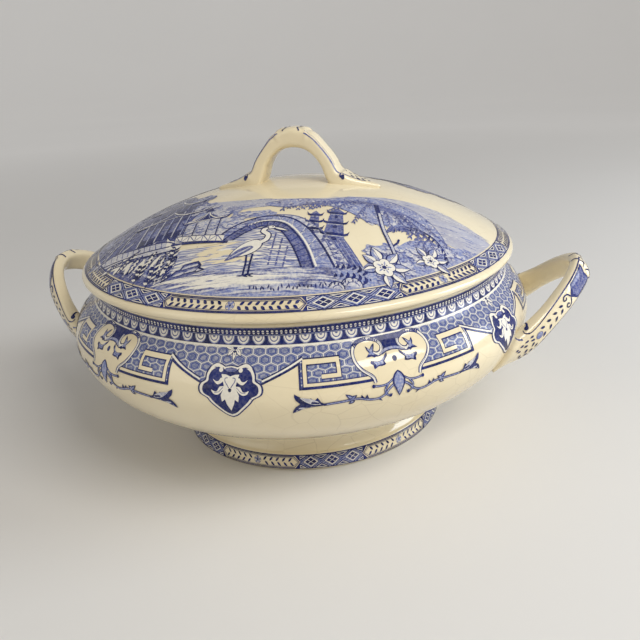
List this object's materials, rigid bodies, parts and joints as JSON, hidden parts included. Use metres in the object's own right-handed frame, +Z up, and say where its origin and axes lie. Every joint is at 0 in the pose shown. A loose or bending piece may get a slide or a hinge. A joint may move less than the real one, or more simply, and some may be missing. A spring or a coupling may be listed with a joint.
{
  "type": "soup tureen",
  "caption": "Round ceramic soup tureen on a foot ring, with arched side handles and a lift-off domed lid, blue printed decoration.",
  "frame": {"origin": "centre of the foot's resting face, on the bowl's axis", "axes": "+Z up along the bowl's axis, +X through the side handles, -Y to the front of the printed scene"},
  "size_m": [0.3006, 0.24, 0.1571],
  "materials": {
    "printed_bowl": "cobalt transfer print under clear gloss glaze on a warm cream body",
    "printed_foot": "cream gloss glaze with a cobalt printed band",
    "printed_handle": "cream gloss glaze with fine cobalt printed sprigs",
    "printed_lid": "cobalt landscape print under clear gloss glaze on a warm cream body",
    "cream_glaze": "plain cream gloss glaze"
  },
  "bodies": {
    "bowl": {"bowl_body": "printed_bowl", "foot_ring": "printed_foot", "handle_right": "printed_handle", "handle_left": "printed_handle"},
    "lid": {"lid_dome": "printed_lid", "lid_flange": "cream_glaze", "lid_handle": "printed_handle"}
  },
  "joints": [
    {"name": "lid_lift", "type": "slide", "parent": "bowl", "child": "lid", "axis": [0, 0, 1], "range_m": [0, 0.15]}
  ]
}
